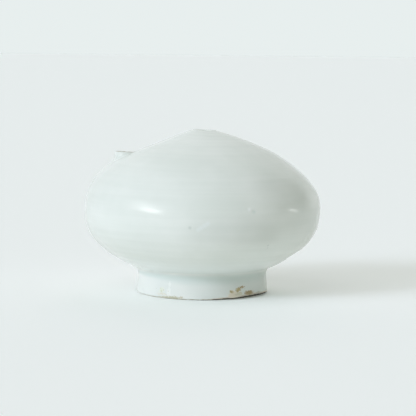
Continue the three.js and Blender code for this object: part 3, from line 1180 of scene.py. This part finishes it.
# %% Marks of the kiln
PINK_CLAY = opaque(0.79, 0.71, 0.575)
BROWN_CLAY = opaque(0.50, 0.40, 0.26)
OCHRE = opaque(0.50, 0.40, 0.20)
RUST = opaque(0.46, 0.355, 0.21)
CRUMBS = {"Fray": 2.4, "Gaps": 0.25, "Grain": 1900}
SPECKS = {"Fray": 2.6, "Gaps": 0.45, "Grain": 1900}
STAINS = (
    # name, colour, degrees from the front, spread in degrees, height and rise in mm, border
    ("pink clay", PINK_CLAY, 28.5, 6, 1.7, 1.8, {"Fray": 1.4}),
    ("brown clay", BROWN_CLAY, 45.0, 6.0, 2.0, 0.9, {"Fray": 1.6, "Grain": 1100}),
    ("pale drip", opaque(0.84, 0.848, 0.80), -29, 1.6, 3.6, 3.2, {"Fray": 3}),
    ("olive sand", opaque(0.74, 0.76, 0.63), -36.5, 3, 3.0, 1.5, CRUMBS),
    ("left specks", opaque(0.72, 0.69, 0.58), -36, 8, 1.6, 0.9, SPECKS),
    ("olive edge", opaque(0.56, 0.53, 0.40), -27, 13, 0.6, 0.7, CRUMBS),
    ("left dash", opaque(0.60, 0.55, 0.42), -17.7, 2.6, 0.9, 0.5, CRUMBS),
    ("ochre dust", opaque(0.68, 0.63, 0.49), 33.5, 7, 2.2, 1.5, SPECKS),
    ("small crumb", OCHRE, 26.4, 2.2, 3.0, 0.8, CRUMBS),
    ("ochre crumb", OCHRE, 33.0, 3.8, 3.6, 1.2, CRUMBS),
    ("rust streak", RUST, 37, 4.4, 4.4, 0.7, CRUMBS),
    ("brown crumbs", RUST, 45.0, 5.5, 2.2, 0.9, CRUMBS),
    ("grey streak", opaque(0.60, 0.57, 0.49), 58, 9, 1.5, 0.6, CRUMBS),
)
print("stains on the foot:", len(STAINS))

# %% [markdown]
# The foot has the same glaze, thinner and whiter on the wall and deep blue-green in the corner under the
# belly, where the deeper colour is partly painted shade; from the front round to the right it runs further
# down the wall as painted shade of the belly. Over it lie the kiln's marks and a dark bottom edge that is
# darkest and widest at the front right, partly burnt dirt and partly painted contact shade. The body's
# finish could carry them too, but they belong to the foot alone, so it has a finish of its own.

# %% The foot's glaze
FOOT_PALE = opaque(0.83, 0.835, 0.785)
FOOT_DEEP = opaque(0.76, 0.785, 0.74)
# Pooled glaze under the belly, partly real colour and partly painted shade.
FOOT_POOL_AND_SHADE = opaque(0.675, 0.73, 0.682)
FOOT_CLAY = opaque(0.66, 0.60, 0.50)
# Near black: a burnt dirt line and painted contact shade along the bottom edge.
EDGE_DIRT_AND_SHADE = opaque(0.045, 0.036, 0.026)
DIRT_AND_SHADE_FRAY = 0.5
FOOT_GLOSS, STAIN_ROUGHNESS = (0.16, 0.24), 0.45


def foot_glaze():
    material, tree = new_material("foot_glaze")
    layer = use(tree, thickness)
    colour = tint(tree, layer["Clouds"], FOOT_PALE, FOOT_DEEP)
    # Pooled glaze under the belly, partly real colour and partly painted shade of the belly.
    colour = tint(tree, attribute(tree, "pool"), colour, FOOT_POOL_AND_SHADE)
    dull = use(tree, worn, Bare=attribute(tree, "bare"), Fray=1)["Mask"]
    colour = tint(tree, dull, colour, FOOT_CLAY)
    for label, stain_colour, degrees, width, level, rise_here, border in STAINS:
        place = {"Angle": degrees, "Spread": width, "Height": level, "Rise": rise_here}
        mask = use(tree, stain, **place, **border)["Mask"]
        mask.node.label = label
        colour = tint(tree, mask, colour, stain_colour)
        dull = math_node(tree, "MAXIMUM", dull, mask)
    # The dark bottom edge, partly burnt dirt and partly painted contact shade.
    dirt_and_shade = use(tree, worn, Bare=attribute(tree, "dirt_and_shade"), Fray=DIRT_AND_SHADE_FRAY)["Mask"]
    colour = tint(tree, dirt_and_shade, colour, EDGE_DIRT_AND_SHADE)
    gloss = spread(tree, layer["Clouds"], 0, 1, *FOOT_GLOSS)
    roughness = math_node(tree, "ADD", gloss, math_node(tree, "MULTIPLY", dull, STAIN_ROUGHNESS))
    ripple = math_node(tree, "MULTIPLY", layer["Ripple"], RIPPLE_DEPTH)
    finish_surface(tree, colour, roughness, ripple)
    return material


foot.data.materials.append(foot_glaze())
print("foot finish:", foot.active_material.name)

# %% [markdown]
# The grit is quartz sand, half melted: ochre and olive grains with a little gloss. Its colour changes
# from grain to grain, which a noise far coarser than one grain gives.

# %% The grit's finish
SAND_DARK = opaque(0.34, 0.27, 0.11)
SAND_PALE = opaque(0.52, 0.44, 0.27)
SAND_SCALE, SAND_RANGE = 420, (0.4, 0.6)
GRAIN_SCALE, GRAIN_RANGE, GRAIN_DEPTH = 4000, (0.3, 0.7), 0.03
SAND_GLOSS = (0.35, 0.6)


def grit_finish():
    material, tree = new_material("kiln_sand")
    place = add(tree, "TexCoord").outputs["Object"]
    kind = add(tree, "TexNoise", {"Vector": place, "Scale": SAND_SCALE, "Detail": 1}).outputs[0]
    colour = tint(tree, spread(tree, kind, *SAND_RANGE), SAND_DARK, SAND_PALE)
    grain = add(tree, "TexNoise", {"Vector": place, "Scale": GRAIN_SCALE, "Detail": 2}).outputs[0]
    pits = math_node(tree, "MULTIPLY", grain, GRAIN_DEPTH)
    finish_surface(tree, colour, spread(tree, grain, *GRAIN_RANGE, *SAND_GLOSS), pits)
    return material


grit.data.materials.append(grit_finish())
print("grit finish:", grit.active_material.name)

# %% [markdown]
# Just under its widest line the belly is darker at the front right. No dark thing can be seen there, so
# that shade is painted as a dark patch on the table in front on the right, which the belly mirrors. It
# could be a plane that is hidden from the camera, but as a mask in the floor's finish, for reflections
# alone, it darkens nothing else.

# %% A painted dark reflection
# Colour of the painted dark patch, which the belly mirrors as painted shade.
DARK_REFLECTION_COLOUR = opaque(0.06, 0.06, 0.06)
DARK_REFLECTION_SIDE, DARK_REFLECTION_EDGE, DARK_REFLECTION_FROM = 27, (0.76, 0.89), (50 * MM, 64 * MM)


def towards(side, up):
    """A direction, by degrees from the front to the right and degrees up."""
    side, up = math.radians(side), math.radians(up)
    return Vector((math.sin(side) * math.cos(up), -math.cos(side) * math.cos(up), math.sin(up)))


def along(tree, direction, side, up):
    """How far a direction agrees with another one, which is given in degrees."""
    ways = {0: direction, 1: towards(side, up)}
    return add(tree, "VectorMath", ways, operation="DOT_PRODUCT").outputs["Value"]


def painted_dark_reflection(tree):
    """A mask of a painted dark patch on the floor, in reflections only, that paints shade on the belly."""
    place = add(tree, "NewGeometry").outputs["Position"]
    away = add(tree, "VectorMath", {0: place}, operation="LENGTH").outputs["Value"]
    direction = add(tree, "VectorMath", {0: place}, operation="NORMALIZE").outputs[0]
    sideways = spread(tree, along(tree, direction, DARK_REFLECTION_SIDE, 0), *DARK_REFLECTION_EDGE, 0, 1)
    dark_reflection = math_node(tree, "MULTIPLY", sideways, spread(tree, away, *DARK_REFLECTION_FROM, 0, 1))
    return math_node(tree, "MULTIPLY", dark_reflection, add(tree, "LightPath").outputs["Is Glossy Ray"])


print("the cloth starts", round(DARK_REFLECTION_FROM[0] / MM), "mm from the axis")

# %% [markdown]
# The vessel stands on a plain, pale, matt surface that runs out of the picture without a line. The floor
# is one large plane, and the world behind it shows the camera the colour that the lit floor has, so no
# horizon appears. In the photograph the surface is so bright that hardly any shade shows under the belly,
# and the belly is bright from below. So the floor gives a little light of its own, as a lit table does,
# and still takes the shadow.

# %% Floor
FLOOR_SIZE = 60.0
FLOOR_COLOUR = opaque(0.83, 0.83, 0.83)
FLOOR_GLOW_COLOUR, FLOOR_GLOW = opaque(0.87, 1.0, 0.91), 0.162


def studio_floor():
    bpy.ops.mesh.primitive_plane_add(size=FLOOR_SIZE)
    floor = bpy.context.object
    floor.name = "studio_floor"
    material, tree = new_material("matt_paper")
    # Painted reflection: the floor turns dark in reflections here, to paint shade on the belly.
    dark_reflection = painted_dark_reflection(tree)
    shader = add(tree, "BsdfPrincipled", {
        "Base Color": tint(tree, dark_reflection, FLOOR_COLOUR, DARK_REFLECTION_COLOUR),
        "Roughness": 1, "Specular IOR Level": 0,
        "Emission Color": FLOOR_GLOW_COLOUR,
        "Emission Strength": spread(tree, dark_reflection, 0, 1, FLOOR_GLOW, 0),
    })
    tree.links.new(shader.outputs[0], add(tree, "OutputMaterial").inputs["Surface"])
    floor.data.materials.append(material)
    return floor


print("floor:", tuple(studio_floor().dimensions))

# %% [markdown]
# The light in the photograph is soft and comes from everywhere, with one cooler window low on the left
# that makes the long pale shadow. Sun lamps stand for it, because a sun lights the whole floor alike:
# three side by side for the wide window, whose middle is the brightest, and four broad ones for the
# ceiling, the wall behind, the far corner and the left.

# %% Lamps
WINDOW_COLOUR = (0.774, 0.841, 1.0)
LAMPS = (
    # name, degrees from the front to the right, degrees up, width in degrees, strength, colour
    ("window_left", -66, 23, 16, 0.33, WINDOW_COLOUR),
    ("window_middle", -52, 23, 16, 1.15, WINDOW_COLOUR),
    ("window_right", -40, 23, 16, 0.26, WINDOW_COLOUR),
    ("ceiling_light", -45, 58, 60, 0.635, (0.957, 0.987, 1.0)),
    ("wall_light", 180, 20, 60, 0.758, (1.0, 0.813, 0.879)),
    ("back_light", 120, 55, 60, 0.47, (0.892, 0.902, 1.0)),
    ("left_light", -118, 12, 60, 0.14, (0.95, 0.97, 1.0)),
)


def new_lamp(name, kind, direction):
    lamp = bpy.data.objects.new(name, bpy.data.lights.new(name, kind))
    lamp.rotation_euler = (-direction).to_track_quat("-Z", "Y").to_euler()
    bpy.context.scene.collection.objects.link(lamp)
    return lamp


def sun(name, side, up, width, strength, colour):
    """A lamp that lights everything alike and that no reflection shows."""
    lamp = new_lamp(name, "SUN", towards(side, up))
    lamp.data.angle = math.radians(width)
    lamp.data.energy = strength
    lamp.data.color = colour
    lamp.visible_glossy = False
    return lamp


for lamp in LAMPS:
    print("light:", sun(*lamp).name)

# %% [markdown]
# The glaze shows a long, slanted highlight on the left and a small glint on the right. A sun's own image
# would be a round disc, so the suns stay out of reflections. Rectangles stand there instead, which only
# reflections show and which light nothing: a window with its curtain and its side pane, and a lamp and a
# bright wall on the far right.

# %% Reflections
MIRRORED_DISTANCE = 4.5
MIRRORED = (
    # name, degrees from the front to the right, degrees up, width and height in m, turn in degrees, watts
    ("window", -52.2, 15.4, 1.45, 0.7, -13, 20.5),
    ("curtain", -54, 16.8, 3.0, 0.9, -16, 10),
    ("window_side", -74, 26, 1.59, 0.47, 0, 3),
    ("far_lamp", 98, 6.5, 0.8, 0.35, -30, 5.0),
    ("far_wall", 134, 7, 2.6, 1.8, 0, 5.0),
)


def mirrored(name, side, up, width, height, turn, power):
    """A rectangle of light that only reflections show."""
    direction = towards(side, up)
    lamp = new_lamp(name, "AREA", direction)
    lamp.location = direction * MIRRORED_DISTANCE
    lamp.rotation_euler.rotate_axis("Z", math.radians(turn))
    lamp.data.shape = "RECTANGLE"
    lamp.data.size = width
    lamp.data.size_y = height
    lamp.data.energy = power
    lamp.visible_diffuse = False
    return lamp


for rectangle in MIRRORED:
    print("mirrored:", mirrored(*rectangle).name)

# %% [markdown]
# The world fills the shade with a little greenish light. The camera and the glaze see a plain backdrop
# instead, as bright as the lit floor. In the glaze its walls grow dimmer to the left, and there is a dark
# corner behind on the right, because the two sides of the belly mirror such a room.

# %% The room
FILL_COLOUR, FILL_STRENGTH = opaque(0.90, 1.0, 0.86), 0.278
BACKDROP_COLOUR = opaque(0.805, 0.862, 0.857)
LEFT_WALL, LEFT_WALL_END = 0.5, -0.32
DARK_CORNER, DARK_CORNER_PLACE, DARK_CORNER_EDGE = 0.3, (103, 27), (0.8, 0.93)


def mirrored_walls(tree):
    """How bright the backdrop is in each direction, for reflections."""
    direction = add(tree, "TexCoord").outputs["Generated"]
    across = add(tree, "SeparateXYZ", {0: direction}).outputs["X"]
    left = spread(tree, across, -1, LEFT_WALL_END, LEFT_WALL, 1)
    near_corner = along(tree, direction, *DARK_CORNER_PLACE)
    corner = spread(tree, near_corner, *DARK_CORNER_EDGE, 1, DARK_CORNER)
    return math_node(tree, "MULTIPLY", left, corner)


def soft_room():
    world = bpy.data.worlds.new("soft_room")
    bpy.context.scene.world = world
    world.use_nodes = True
    tree = world.node_tree
    tree.nodes.clear()
    rays = add(tree, "LightPath").outputs
    seen = math_node(tree, "MAXIMUM", rays["Is Camera Ray"], rays["Is Glossy Ray"])
    seen = math_node(tree, "MAXIMUM", seen, rays["Is Transmission Ray"])
    levels = {0: rays["Is Glossy Ray"], 2: 1.0, 3: mirrored_walls(tree)}
    level = add(tree, "Mix", levels, data_type="FLOAT").outputs[0]
    fill = add(tree, "Background", {"Color": FILL_COLOUR, "Strength": FILL_STRENGTH}).outputs[0]
    backdrop = add(tree, "Background", {"Color": BACKDROP_COLOUR, "Strength": level}).outputs[0]
    mixed = add(tree, "MixShader", {0: seen, 1: fill, 2: backdrop}).outputs[0]
    tree.links.new(mixed, add(tree, "OutputWorld").inputs["Surface"])
    return world


print("world:", soft_room().name)
bpy.context.scene.view_settings.view_transform = "Standard"
